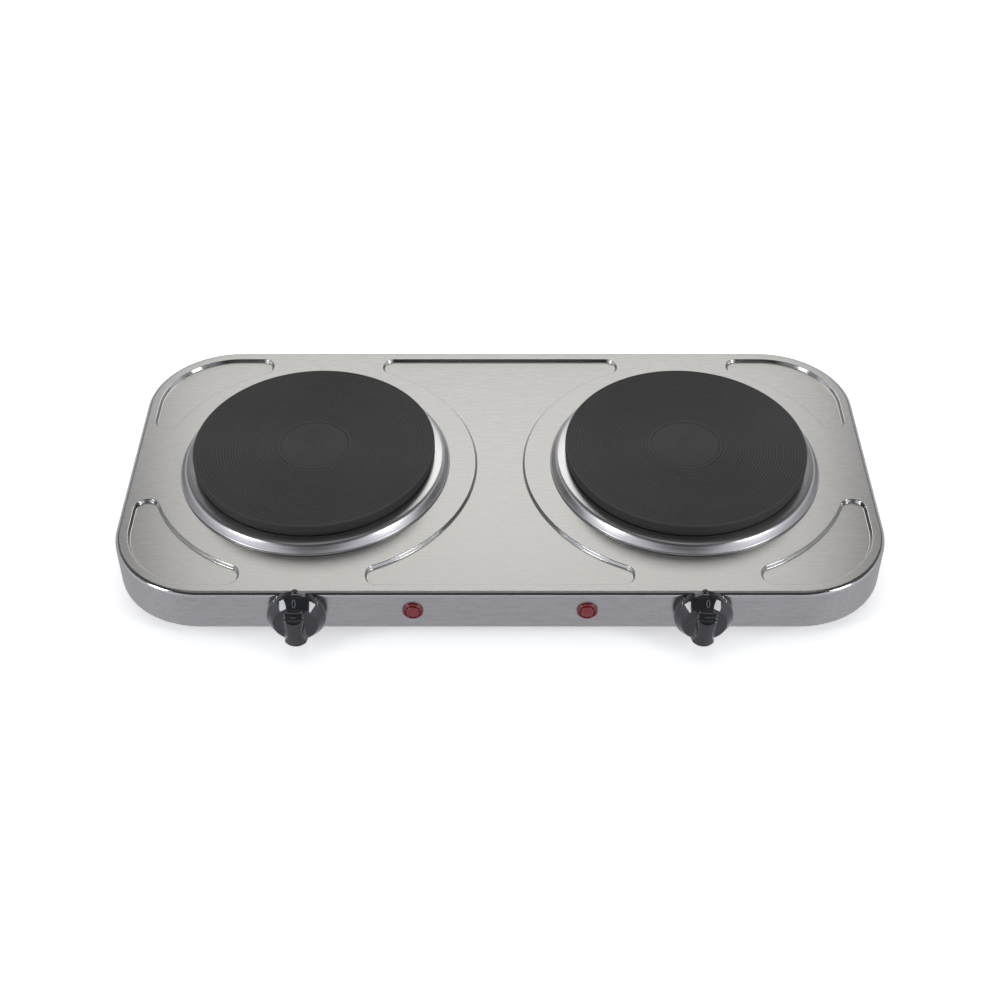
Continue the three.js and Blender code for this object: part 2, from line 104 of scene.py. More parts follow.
# ---------- mesh helpers ----------
def piece(name, verts, faces, material, body, stands_for, flat=(), place=(0, 0, 0)):
    """One named piece from millimetre points, smooth but for the faces whose numbers are in flat."""
    data = bpy.data.meshes.new(name)
    offset = Vector(place)
    data.from_pydata([(Vector(v) + offset) * MM for v in verts], [], faces)
    data.materials.append(material)
    data.polygons.foreach_set("use_smooth", [i not in flat for i in range(len(faces))])
    tidy = bmesh.new()
    tidy.from_mesh(data)
    bmesh.ops.recalc_face_normals(tidy, faces=tidy.faces)
    tidy.to_mesh(data)
    tidy.free()
    obj = bpy.data.objects.new(name, data)
    bpy.context.scene.collection.objects.link(obj)
    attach(obj, body)
    if stands_for:
        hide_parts(*stands_for)
    return obj


def strips(loops, closed=False):
    """Quads between neighbouring loops of one length, as (verts, faces)."""
    count = len(loops[0])
    verts = [p for loop in loops for p in loop]
    rows = len(loops) if closed else len(loops) - 1
    faces = []
    for i in range(rows):
        a, b = i * count, ((i + 1) % len(loops)) * count
        faces += [(a + j, a + (j + 1) % count, b + (j + 1) % count, b + j) for j in range(count)]
    return verts, faces


def filled(outline, holes=()):
    """Triangles over a flat outline with holes, indices counting through outline then holes."""
    return [tuple(t) for t in tessellate_polygon([[Vector(p) for p in loop] for loop in (outline, *holes)])]


def merged(*parts):
    """Several (verts, faces) as one."""
    verts, faces = [], []
    for some_verts, some_faces in parts:
        start = len(verts)
        verts += some_verts
        faces += [tuple(i + start for i in face) for face in some_faces]
    return verts, faces


def softened(profile, steps=4, wrap=False):
    """A profile of (radius, height) or (radius, height, rounding), its rounded corners drawn as curves."""
    points = []
    count = len(profile)
    for i, corner in enumerate(profile):
        here = Vector(corner[:2])
        rounding = corner[2] if len(corner) > 2 else 0
        if not rounding or (not wrap and i in (0, count - 1)):
            points.append(here)
            continue
        before, after = Vector(profile[i - 1][:2]), Vector(profile[(i + 1) % count][:2])
        start = here + (before - here).normalized() * min(rounding, (before - here).length * 0.49)
        end = here + (after - here).normalized() * min(rounding, (after - here).length * 0.49)
        for k in range(steps + 1):
            t = k / steps
            points.append(start * (1 - t) ** 2 + here * 2 * t * (1 - t) + end * t ** 2)
    return points


def turned(profile, sides, wrap=False, forward=False):
    """A profile turned about +Z, or about -Y where forward. Radius 0 closes on the axis."""
    def ring(r, h):
        if r < 1e-6:
            return [(0, -h, 0) if forward else (0, 0, h)]
        angles = [TAU * i / sides for i in range(sides)]
        if forward:
            return [(r * math.sin(a), -h, r * math.cos(a)) for a in angles]
        return [(r * math.cos(a), r * math.sin(a), h) for a in angles]

    rings = [ring(p[0], p[1]) for p in profile]
    starts, verts = [], []
    for loop in rings:
        starts.append(len(verts))
        verts += loop
    faces = []
    for i in range(len(rings) if wrap else len(rings) - 1):
        j = (i + 1) % len(rings)
        a, b = starts[i], starts[j]
        for k in range(sides):
            n = (k + 1) % sides
            if len(rings[i]) == 1:
                faces.append((a, b + n, b + k))
            elif len(rings[j]) == 1:
                faces.append((a + k, a + n, b))
            else:
                faces.append((a + k, a + n, b + n, b + k))
    return verts, faces


def arc(x, y, r, start, end, steps):
    return [(x + r * math.cos(start + (end - start) * i / steps),
             y + r * math.sin(start + (end - start) * i / steps)) for i in range(steps + 1)]


# ---------- materials ----------
def shader(name, colour, roughness, metallic=0.0, **more):
    """A Principled material and the tools to add to it."""
    material = bpy.data.materials.new(name)
    material.use_nodes = True
    tree = material.node_tree
    bsdf = tree.nodes["Principled BSDF"]
    bsdf.inputs["Base Color"].default_value = (*colour, 1)
    bsdf.inputs["Roughness"].default_value = roughness
    bsdf.inputs["Metallic"].default_value = metallic
    for key, value in more.items():
        bsdf.inputs[key.replace("_", " ")].default_value = value
    return material, tree, bsdf


def node(tree, kind, links=(), **settings):
    """A shader node; a setting goes to the input of that name, or else to the node itself."""
    made = tree.nodes.new(kind)
    for key, value in settings.items():
        if key in made.inputs:
            made.inputs[key].default_value = value
        else:
            setattr(made, key, value)
    for socket, source in links:
        tree.links.new(source, made.inputs[socket])
    return made


def place_vector(tree, scale=(1, 1, 1), shift=(0, 0, 0)):
    """Object coordinates in metres, scaled and shifted, for patterns that stay put on the piece."""
    coords = node(tree, "ShaderNodeTexCoord").outputs["Object"]
    mapping = node(tree, "ShaderNodeMapping", [("Vector", coords)], Scale=scale, Location=shift)
    return mapping.outputs["Vector"]


def noise(tree, vector, scale, detail=3.0, roughness=0.5):
    made = node(tree, "ShaderNodeTexNoise", [("Vector", vector)], Scale=scale, Detail=detail,
                Roughness=roughness)
    return made.outputs["Fac"]


def product(tree, first, second):
    """Two values multiplied; the second may be a plain number."""
    if isinstance(second, (int, float)):
        made = node(tree, "ShaderNodeMath", [(0, first)], operation="MULTIPLY")
        made.inputs[1].default_value = second
    else:
        made = node(tree, "ShaderNodeMath", [(0, first), (1, second)], operation="MULTIPLY")
    return made.outputs[0]


def total(tree, first, second):
    return node(tree, "ShaderNodeMath", [(0, first), (1, second)], operation="ADD").outputs[0]


def spread(tree, factor, low, high, source=(0.3, 0.7)):
    """The source range of a factor stretched to low..high."""
    made = node(tree, "ShaderNodeMapRange", [("Value", factor)])
    for key, value in zip(("From Min", "From Max", "To Min", "To Max"), (*source, low, high)):
        made.inputs[key].default_value = value
    return made.outputs["Result"]


def ramp(tree, factor, stops):
    """Colours between stops, each a place from 0 to 1 and a colour."""
    made = node(tree, "ShaderNodeValToRGB", [("Fac", factor)])
    while len(made.color_ramp.elements) < len(stops):
        made.color_ramp.elements.new(0.5)
    for element, (at, colour) in zip(made.color_ramp.elements, stops):
        element.position = at
        element.color = (*colour, 1)
    return made.outputs["Color"]


def tint(tree, bsdf, factor, dark, light, source=(0.3, 0.7)):
    tree.links.new(ramp(tree, factor, tuple(zip(source, (dark, light)))), bsdf.inputs["Base Color"])


def relief(tree, bsdf, height, strength, distance):
    bump = node(tree, "ShaderNodeBump", [("Height", height)], Strength=strength, Distance=distance)
    tree.links.new(bump.outputs["Normal"], bsdf.inputs["Normal"])


def scaled(colour, k):
    return tuple(c * k for c in colour)


def off_level(tree, upward, value):
    """1 on level and upright faces, and value on the folds and pressed slopes between them."""
    full, between = (1, 1, 1), (value, value, value)
    return ramp(tree, upward, ((0.02, full), (0.2, between), (0.97, between), (1.0, full)))


def brushed_steel():
    """Stainless sheet with its grain along X, a little cloudy; its gloss spreads across the grain.

    Folds and pressed slopes are glossier and have no relief.
    """
    colour = (0.52, 0.514, 0.498)
    material, tree, bsdf = shader("tray_steel", colour, 0.33, 1.0, Anisotropic=0.7)
    normal = node(tree, "ShaderNodeNewGeometry").outputs["Normal"]
    across = node(tree, "ShaderNodeVectorMath", [(0, normal)], operation="CROSS_PRODUCT")
    across.inputs[1].default_value = (1, 0.08, 0)
    tree.links.new(across.outputs["Vector"], bsdf.inputs["Tangent"])
    fine = noise(tree, place_vector(tree, (420, 2400, 2400)), 1.0, 3.0, 0.6)
    broad = noise(tree, place_vector(tree, (110, 760, 760)), 1.0, 3.0)
    mean = product(tree, total(tree, fine, broad), 0.5)
    tint(tree, bsdf, mean, scaled(colour, 0.88), scaled(colour, 1.1), (0.36, 0.64))
    upward = node(tree, "ShaderNodeSeparateXYZ", [("Vector", normal)]).outputs["Z"]
    rough = product(tree, spread(tree, mean, 0.28, 0.38), off_level(tree, upward, 0.5))
    tree.links.new(rough, bsdf.inputs["Roughness"])
    relief(tree, bsdf, product(tree, fine, off_level(tree, upward, 0)), 0.09, 0.0001)
    return material


def radius_from(tree, x, y):
    """Distance in metres from the upright axis through x, y."""
    vector = place_vector(tree, (1, 1, 0), (-x, -y, 0))
    return node(tree, "ShaderNodeVectorMath", [(0, vector)], operation="LENGTH").outputs["Value"]


def turning(tree, radius, per_metre, detail=2.0):
    """Noise that only changes with the radius, as a lathe tool leaves it."""
    made = node(tree, "ShaderNodeTexNoise", [("W", radius)], noise_dimensions="1D", Scale=per_metre,
                Detail=detail)
    return made.outputs["Fac"]


def ring_steel(name, x, y):
    colour = (0.55, 0.545, 0.54)
    material, tree, bsdf = shader(name, colour, 0.3, 1.0)
    lines = turning(tree, radius_from(tree, x, y), 2600)
    tint(tree, bsdf, lines, scaled(colour, 0.92), scaled(colour, 1.06))
    tree.links.new(spread(tree, lines, 0.27, 0.33), bsdf.inputs["Roughness"])
    relief(tree, bsdf, lines, 0.02, 0.00005)
    return material


def cast_iron(name, x, y):
    """Black coated iron with turning marks round the plate's axis and a fine cast speckle."""
    colour = (0.0275, 0.0265, 0.0265)
    material, tree, bsdf = shader(name, colour, 0.5, 0.0, Specular_IOR_Level=0.42)
    lines = turning(tree, radius_from(tree, x, y), 1400, 3.0)
    speckle = noise(tree, place_vector(tree), 2600, 2.0)
    cloud = noise(tree, place_vector(tree), 18, 3.0)
    tint(tree, bsdf, cloud, scaled(colour, 0.88), scaled(colour, 1.12))
    tree.links.new(spread(tree, lines, 0.48, 0.62), bsdf.inputs["Roughness"])
    relief(tree, bsdf, total(tree, lines, speckle), 0.18, 0.00006)
    return material


def grained(name, colour, roughness, scale, contrast=0.12, bump=0.1, depth=0.0001, metallic=0.0,
            stretch=(1, 1, 1), **more):
    """Plain moulded, cast or plated stuff: a fine grain in its colour, gloss and relief."""
    material, tree, bsdf = shader(name, colour, roughness, metallic, **more)
    grain = noise(tree, place_vector(tree, stretch), scale, 3.0)
    tint(tree, bsdf, grain, scaled(colour, 1 - contrast), scaled(colour, 1 + contrast))
    tree.links.new(spread(tree, grain, roughness * 0.85, min(1, roughness * 1.15)), bsdf.inputs["Roughness"])
    relief(tree, bsdf, grain, bump, depth)
    return material


def galvanised():
    """Zinc coated sheet with its crystal spangle."""
    colour = (0.50, 0.52, 0.53)
    material, tree, bsdf = shader("galvanised_sheet", colour, 0.45, 1.0)
    cells = node(tree, "ShaderNodeTexVoronoi", [("Vector", place_vector(tree))], Scale=150.0)
    tone = node(tree, "ShaderNodeSeparateColor", [("Color", cells.outputs["Color"])]).outputs[0]
    tint(tree, bsdf, tone, scaled(colour, 0.86), scaled(colour, 1.1), (0.0, 1.0))
    tree.links.new(spread(tree, tone, 0.36, 0.55, (0, 1)), bsdf.inputs["Roughness"])
    relief(tree, bsdf, tone, 0.05, 0.0001)
    return material


def woven(name, colour):
    """Braided glass sleeve."""
    material, tree, bsdf = shader(name, colour, 0.7)
    wave = node(tree, "ShaderNodeTexWave", [("Vector", place_vector(tree))], Scale=420.0, Distortion=2.0)
    tint(tree, bsdf, wave.outputs["Fac"], scaled(colour, 0.7), colour, (0.0, 1.0))
    relief(tree, bsdf, wave.outputs["Fac"], 0.4, 0.0002)
    return material


STEEL = brushed_steel()
GALVANISED = galvanised()
ZINC = grained("zinc_steel", (0.62, 0.63, 0.66), 0.3, 900, 0.06, 0.06, metallic=1.0)
BLACK = grained("black_plastic", (0.0145, 0.015, 0.018), 0.09, 260, 0.2, 0.004, 0.0001,
                Coat_Weight=0.5, Coat_Roughness=0.04)
MARK = grained("knob_mark", (0.13, 0.13, 0.14), 0.35, 900)
RUBBER = grained("rubber", (0.018, 0.018, 0.019), 0.82, 1400, 0.25, 0.3)
SWITCH = grained("switch_plastic", (0.70, 0.67, 0.60), 0.45, 700)
CERAMIC = grained("ceramic", (0.78, 0.75, 0.68), 0.65, 1100)
CEMENT = grained("cement", (0.42, 0.40, 0.37), 0.95, 1600, 0.3, 0.6)
FIBRE = grained("fibre", (0.40, 0.39, 0.37), 0.95, 1800, 0.3, 0.6, stretch=(1, 1, 3))
SLEEVE = woven("lead_sleeve", (0.62, 0.58, 0.50))
LENS = grained("red_lens", (0.21, 0.012, 0.015), 0.1, 500, 0.1, 0.02, Transmission_Weight=0.3,
               IOR=1.49, Coat_Weight=0.5, Coat_Roughness=0.05)


# ---------- tray ----------
def rounded_rect(inset, steps=24):
    """The tray's outline, drawn in by inset, centred on 0, 0."""
    x, y, r = WIDTH / 2 - CORNER_R, DEPTH / 2 - CORNER_R, CORNER_R - inset
    points = []
    for i, (mx, my) in enumerate(((1, 1), (-1, 1), (-1, -1), (1, -1))):
        points += arc(mx * x, my * y, r, i * TAU / 4, (i + 1) * TAU / 4, steps)
    return points


def crescent(mx, my, grow):
    """A corner panel's outline: outside edges follow the tray, the inside edge follows the plate."""
    side, back = WIDTH / 2 - PANEL_EDGE + grow, DEPTH / 2 - PANEL_EDGE + grow
    corner_r, arc_r, end_r = CORNER_R - PANEL_EDGE + grow, PANEL_ARC_R - grow, PANEL_END_R + grow
    end_x, low_y = PLATE_X + PANEL_END_X + PANEL_END_R, CRESCENT_END_Y + PANEL_END_R
    inner_y = math.sqrt((arc_r + end_r) ** 2 - (end_x - PLATE_X) ** 2)
    inner_x = PLATE_X + math.sqrt((arc_r + end_r) ** 2 - low_y ** 2)
    near, far = math.atan2(inner_y, end_x - PLATE_X), math.atan2(low_y, inner_x - PLATE_X)
    points = [
        *arc(side - corner_r, back - corner_r, corner_r, 0, TAU / 4, 20),
        *arc(end_x, back - end_r, end_r, TAU / 4, TAU / 2, 9),
        *arc(end_x, inner_y, end_r, TAU / 2, TAU / 2 + near, 8),
        *arc(PLATE_X, 0, arc_r, near, far, 26)[1:-1],
        *arc(inner_x, low_y, end_r, TAU / 2 + far, TAU * 0.75, 8),
        *arc(side - end_r, low_y, end_r, TAU * 0.75, TAU, 9),
    ]
    return [(mx * x, my * y) for x, y in points]


def middle_panel(grow):
    """The waisted panel between the plates."""
    back = DEPTH / 2 - PANEL_EDGE + grow
    arc_r, end_r = PANEL_ARC_R - grow, PANEL_END_R + grow
    end_x = PLATE_X - PANEL_END_X - PANEL_END_R
    inner_y = math.sqrt((arc_r + end_r) ** 2 - (PLATE_X - end_x) ** 2)
    angle = math.atan2(inner_y, PLATE_X - end_x)
    half = [
        *arc(end_x, -inner_y, end_r, 0, angle, 8),
        *arc(PLATE_X, 0, arc_r, TAU / 2 + angle, TAU / 2 - angle, 64)[1:-1],
        *arc(end_x, inner_y, end_r, -angle, 0, 8),
        *arc(end_x, back - end_r, end_r, 0, TAU / 4, 9),
        *arc(-end_x, back - end_r, end_r, TAU / 4, TAU / 2, 9),
    ]
    return half + [(-x, -y) for x, y in half]


def panel_wall(outline, steps=6):
    """Loops down the wall of one panel: a round lip, a steep straight part and a round foot.

    The lip starts a little outside the panel's outline. Close to the lip and the foot, a loop on the
    straight part keeps its shading even.
    """
    outside, support = 0.3, 0.08
    turn_run, turn_drop = PANEL_ROUND * math.sin(PANEL_STEEP), PANEL_ROUND * (1 - math.cos(PANEL_STEEP))
    run = 2 * turn_run + (PANEL_DEPTH - 2 * turn_drop) / math.tan(PANEL_STEEP)
    lip = [(PANEL_ROUND * math.sin(a), PANEL_ROUND * (1 - math.cos(a)))
           for a in (PANEL_STEEP * i / steps for i in range(steps + 1))]
    across, down = lip[-1]
    lip.append((across + support * math.cos(PANEL_STEEP), down + support * math.sin(PANEL_STEEP)))
    foot = [(run - across, PANEL_DEPTH - down) for across, down in reversed(lip)]
    return [[(x, y, -down) for x, y in outline(outside - across)] for across, down in lip + foot]


def wall_holes():
    """Round holes in the front and the rear wall, each as x, height from the tray's top, and radius."""
    front = []
    for side, _ in SIDES:
        for name, r in (("spindle", SPINDLE_HOLE_R), ("pilot_body", LAMP_HOLE_R),
                        ("switch_screw_left", SWITCH_SCREW_HOLE_R),
                        ("switch_screw_right", SWITCH_SCREW_HOLE_R)):
            middle = middle_mm(f"{side}_{name}")
            front.append((middle.x, middle.z - TOP, r))
    return front, [(0, middle_mm("cord_gland").z - TOP, GLAND_HOLE_R)]


def pierced_wall(y, high, low, holes):
    """The flat stretch of the front or rear wall between two levels, with its holes.

    A narrow flat rim round each hole keeps the sheet's cut edge out of the wall's shading.
    """
    def circles(grow):
        return [[(x, z, 0) for x, z in arc(middle, level, r + grow, 0, TAU, 32)[:-1]]
                for middle, level, r in holes]

    x = WIDTH / 2 - CORNER_R
    outline = [(-x, low, 0), (x, low, 0), (x, high, 0), (-x, high, 0)]
    rims, edges = circles(SUPPORT), circles(0)
    flat = ([p for loop in (outline, *rims) for p in loop], filled(outline, rims))
    verts, faces = merged(flat, *[strips([rim, edge]) for rim, edge in zip(rims, edges)])
    return [(x, y, z) for x, z, _ in verts], faces


def shell():
    """The fold and the wall round the tray, with holes in front and at the rear. Gives the first loop too."""
    fold, steps = [], 6
    for i in range(steps + 1):
        angle = TAU / 4 * i / steps
        inset, drop = FOLD_R * (1 - math.sin(angle)), FOLD_R * (1 - math.cos(angle))
        fold.append([(x, y, -drop) for x, y in rounded_rect(inset)])
    high, low = -FOLD_R - 0.3, WALL_FOOT - TOP + SUPPORT
    wall = [[(x, y, z) for x, y in rounded_rect(0)] for z in (high, low, WALL_FOOT - TOP)]
    verts, faces = strips(fold + wall)
    count = len(fold[0])
    for corner in (3, 1):  # the flat stretches after the third corner, in front, and the first, at the rear
        del faces[len(fold) * count + corner * count // 4 - 1]
    front_holes, rear_holes = wall_holes()
    front = pierced_wall(-DEPTH / 2, high, low, front_holes)
    rear = pierced_wall(DEPTH / 2, high, low, rear_holes)
    return merged((verts, faces), front, rear), fold[0]


def tray():
    """Drawn sheet: flat top with embossed panels and plate holes, round fold, wall and open underside."""
    side_walls, edge = shell()
    crescents = [lambda grow, c=c: crescent(*c, grow) for c in ((1, 1), (-1, 1), (-1, -1), (1, -1))]
    panels = [panel_wall(outline) for outline in (middle_panel, *crescents)]
    slopes = [strips(loops) for loops in panels]
    holes = [[(x, y, 0) for x, y in arc(side * PLATE_X, 0, PLATE_HOLE_R, 0, TAU, 96)[:-1]]
             for _, side in SIDES]
    rims = [loops[0] for loops in panels] + holes
    top = ([p for loop in (edge, *rims) for p in loop], filled(edge, rims))
    floors = [(loops[-1], filled(loops[-1])) for loops in panels]
    smooth_faces = sum(len(faces) for _, faces in (side_walls, *slopes))
    verts, faces = merged(side_walls, *slopes, top, *floors)
    obj = piece("tray", verts, faces, STEEL, CABINET, ["top_housing"],
                place=(0, MID_Y, TOP))
    weld = bmesh.new()
    weld.from_mesh(obj.data)
    weld.faces.ensure_lookup_table()
    for face in weld.faces[smooth_faces:]:
        face.smooth = False
    bmesh.ops.remove_doubles(weld, verts=weld.verts, dist=1e-7)
    bmesh.ops.recalc_face_normals(weld, faces=weld.faces)
    if max(weld.faces, key=lambda f: f.calc_area()).normal.z < 0:
        bmesh.ops.reverse_faces(weld, faces=weld.faces)
    weld.to_mesh(obj.data)
    weld.free()
    thick = obj.modifiers.new("sheet", "SOLIDIFY")
    thick.thickness = SHEET * MM
    thick.offset = -1


# ---------- plates and rings ----------
def plate_top():
    """Turned face from the rim to the axis: round ridges, a ring line, and a disc with finer lines."""
    outer = PLATE_R - 1.3
    ridges = int((outer - DISC_R - 1) / GROOVE_PITCH)
    samples = 6
    points = []
    for i in range(ridges * samples + 1):
        s = i / samples
        ridge = math.cos(math.pi * s) ** 4
        points.append((outer - s * GROOVE_PITCH, GROOVE_DEPTH * (1 - ridge)))
    top, line = 0.02, 0.3  # both below the ridges' crests
    points += [(DISC_R + 0.5, top), (DISC_R + 0.2, line), (DISC_R - 0.2, line), (DISC_R - 0.5, top)]
    for i in range(1, 41):
        points.append((DISC_R - 0.5 - i * DISC_STEP, top + DISC_LINE * (i % 2)))
    points.append((0, top))
    return [Vector((r, PLATE_RISE - down)) for r, down in points]


def hotplate(side, x):
    body = softened([
        (0, -2), (14, -2, 0.6), (14, 6), (63, 6), (63, -2, 0.6), (71.5, -2, 0.8), (71.5, 7.6),
        (76.4, 7.6, 0.4), (76.4, 9.7), (PLATE_R, 10.4, 0.5), (PLATE_R, PLATE_RISE, 0.9),
        (PLATE_R - 1.2, PLATE_RISE),
    ])
    verts, faces = turned(body + plate_top(), 192)
    iron = cast_iron(f"{side}_cast_iron", x * MM, MID_Y * MM)
    piece(f"{side}_plate", verts, faces, iron, CABINET, [f"{side}_hotplate"],
          place=(x, MID_Y, TOP))


def spill_ring(side, x):
    """Rolled ring: band beside the plate, round shoulder, skirt, and a small lip on the tray."""
    profile = softened([
        (73.4, 7.3), (77.8, 7.1, 0.6), (83.2, 6.5, 1.7), (85.5, 2.3, 0.8), (86.1, 1.0, 0.4),
        (86.9, 0.7, 0.15), (86.9, 0.3, 0.1), (85.4, 0.3, 0.2), (84.7, 2.2, 0.8), (82.6, 5.7, 1.4),
        (77.8, 6.3), (73.4, 6.5),
    ], 5, wrap=True)
    verts, faces = turned(profile, 192, wrap=True)
    steel = ring_steel(f"{side}_ring_steel", x * MM, MID_Y * MM)
    piece(f"{side}_ring", verts, faces, steel, CABINET, [f"{side}_spill_ring"],
          place=(x, MID_Y, TOP))


# ---------- front fittings ----------
BEZEL_R = 16.6
SKIRT_R, SKIRT_T = 17.6, 6.8
FLOOR_R, FLOOR_T = 13.4, 12.1
GRIP_POWER = 9  # how square the grip's ends are
GRIP_HALF = 6.4  # distance from the grip's middle line where its bow and crown are given


def grip_radius(angle, k, shrink):
    """Distance from the knob's axis to the grip's outline, drawn in by shrink, found by halving.

    The angle is 0 at 12 o'clock, and k runs from 0 at the base to 1 in front. The upper end rises a
    little and then falls away, and the lower end stays nearly straight. The bar is waisted.
    """
    across, up = math.sin(angle), math.cos(angle)
    straight = (11.7 + 1.1 * k - 3.8 * k ** 3 if up > 0 else 11.5 - 0.3 * k * k) - shrink
    bow = (0.4 if up > 0 else -0.9) * k / GRIP_HALF ** 2

    def outside(r):
        z = r * up
        length = straight + bow * (r * across) ** 2
        foot = 6.0 - 0.11 * z
        front = 4.55 + (0.026 if z > -1 else 0.036) * (min(z, 8) + 1) ** 2
        half = foot + (front - foot) * (1 - (1 - k) ** 2) - shrink
        return (abs(r * across) / half) ** GRIP_POWER + (abs(z) / length) ** GRIP_POWER > 1

    low, high = 0.0, 16.0
    for _ in range(30):
        mid = (low + high) / 2
        low, high = (low, mid) if outside(mid) else (mid, high)
    return low


def cone_height(r):
    """Front surface of the cone between its skirt and the flat floor round the grip."""
    return SKIRT_T + (SKIRT_R - r) * (FLOOR_T - SKIRT_T) / (SKIRT_R - FLOOR_R)


def knob(side, x, turn):
    """Turned skirt, steep cone and flat floor, with a bar grip that is waisted and flares forward."""
    count = 192
    angles = [TAU * i / count for i in range(count)]
    rings = []  # each is a list of (radius, height) by angle
    skirt = [(4, 3.7), (17.5, 3.7, 0.3), (17.8, 4.0, 0.3), (SKIRT_R, SKIRT_T, 0.6), (FLOOR_R, FLOOR_T, 0.5),
             (FLOOR_R - 0.5, FLOOR_T)]
    for r, t in softened(skirt, 4):
        rings.append([(r, t)] * count)
    base = [grip_radius(a, 0, 0) for a in angles]
    fillets = [min(1.5, max(0.15, FLOOR_R - 0.6 - b)) for b in base]
    for i in range(7):
        lean = TAU / 4 * i / 6
        rings.append([(b + f * (1 - math.sin(lean)), FLOOR_T + f * (1 - math.cos(lean)))
                      for b, f in zip(base, fillets)])
    crown, steps = 2.4, 10
    edges = [0.8 + 2.6 * max(0.0, math.cos(a)) ** 4 for a in angles]

    def drop(r, a):
        return crown * (r * math.sin(a) / GRIP_HALF) ** 2

    for i in range(1, steps + 1):
        k = i / steps
        loop = []
        for a, f, edge in zip(angles, fillets, edges):
            r = grip_radius(a, k, 0)
            start = FLOOR_T + f
            loop.append((r, start + (KNOB_REACH - edge - drop(r, a) - start) * k))
        rings.append(loop)
    for i in range(1, 9):
        lean = TAU / 4 * i / 8
        loop = []
        for a, edge in zip(angles, edges):
            r = grip_radius(a, 1, edge * (1 - math.cos(lean)))
            loop.append((r, KNOB_REACH - drop(r, a) - edge * (1 - math.sin(lean))))
        rings.append(loop)
    front = rings[-1]
    for k in (0.9, 0.7, 0.45, 0.2):
        rings.append([(r * k, KNOB_REACH - drop(r * k, a)) for (r, _), a in zip(front, angles)])
    loops = [[(r * math.sin(a + turn), -t, r * math.cos(a + turn)) for (r, t), a in zip(ring, angles)]
             for ring in rings]
    verts, faces = strips(loops)
    faces.append(tuple(range(count)))
    last = (len(loops) - 1) * count
    faces.append(tuple(last + i for i in range(count)))
    place = (x, FRONT, middle_mm(f"{side}_spindle").z)
    piece(f"{side}_dial", verts, faces, BLACK, f"{side}_control", [f"{side}_knob"],
          place=place)
    zero_mark(side, place, turn)


def zero_mark(side, place, turn):
    """A thin oval nought standing a hair above the cone at 12 o'clock."""
    width, height, middle = 1.1, 1.55, 15.25
    loops = []
    for stroke, lift in ((0, -0.1), (0, 0.06), (1, 0.06), (1, -0.1)):
        loop = []
        for i in range(48):
            a = TAU * i / 48
            across = (width - 0.38 * stroke) * math.cos(a)
            along = middle + (height - 0.24 * stroke) * math.sin(a)
            r, angle = math.hypot(across, along), math.atan2(across, along) + turn
            loop.append((r * math.sin(angle), -(cone_height(r) + lift), r * math.cos(angle)))
        loops.append(loop)
    verts, faces = strips(loops, closed=True)
    piece(f"{side}_dial_zero", verts, faces, MARK, f"{side}_control", [], place=place)


def bezel(side, x):
    """Round cover on the wall with a ball-shaped index nub at 12 o'clock."""
    cover = turned(softened([
        (4.4, 0.3), (7, 0.3), (7, 2.5), (BEZEL_R - 0.9, 2.5), (BEZEL_R - 0.9, 0.3), (BEZEL_R, 0.3, 0.15),
        (BEZEL_R, 3.3, 0.7), (4.4, 3.3),
    ], 5, wrap=True), 128, wrap=True, forward=True)
    nub_r, low, steps = 2.1, 0.3, 10
    dome = [(nub_r * math.cos(TAU / 4 * i / steps), low + 1.4 + 1.6 * math.sin(TAU / 4 * i / steps))
            for i in range(steps + 1)]
    verts, faces = turned([Vector(p) for p in ((0, low), (nub_r, low), *dome)], 32, forward=True)
    nub = ([(vx, vy, vz + BEZEL_R - 0.7) for vx, vy, vz in verts], faces)
    verts, faces = merged(cover, nub)
    piece(f"{side}_bezel", verts, faces, BLACK, CABINET, [f"{side}_knob_bezel"],
          place=(x, FRONT, middle_mm(f"{side}_spindle").z))


def lens(side, x):
    """Red lamp lens: round rim, a moat and a low dome."""
    verts, faces = turned(softened([
        (0, 0.9), (4.6, 0.9), (4.9, 0.3), (6.35, 0.3), (6.35, 1.2, 0.5), (5.3, 1.55, 0.3), (4.9, 0.5, 0.1),
        (4.4, 0.5, 0.1), (4.0, 1.7, 0.3), (0, 1.95),
    ], 5), 96, forward=True)
    piece(f"{side}_lamp_lens", verts, faces, LENS, CABINET, [f"{side}_pilot_lens"],
          place=(x, FRONT, middle_mm(f"{side}_pilot_body").z))


# ---------- feet, gland and screws ----------
def foot(corner):
    middle = middle_mm(f"{corner}_foot")
    verts, faces = turned(softened([
        (2.3, 5.2), (5, 5.2, 0.3), (5, 0, 0.5), (12, 0, 0.9), (11.4, 3.0, 0.8), (10.6, 3.6, 0.4),
        (10.4, 10, 0.5), (2.3, 10),
    ], 4, wrap=True), 96, wrap=True)
    piece(f"{corner}_rubber_foot", verts, faces, RUBBER, CABINET, [f"{corner}_foot"],
          place=(middle.x, middle.y, 0))


def gland():
    bore = 3.9
    verts, faces = turned(softened([
        (bore, -8), (5.6, -8, 0.5), (6.8, -3.4, 0.6), (7.2, -2.6), (9.5, -2.6, 0.6), (9.5, -0.3, 0.2),
        (6.4, -0.3), (6.4, 12, 0.3), (bore, 12),
    ], 4, wrap=True), 96, wrap=True, forward=True)
    piece("cord_bush", verts, faces, RUBBER, CABINET, ["cord_gland"],
          place=(0, REAR, middle_mm("cord_gland").z))


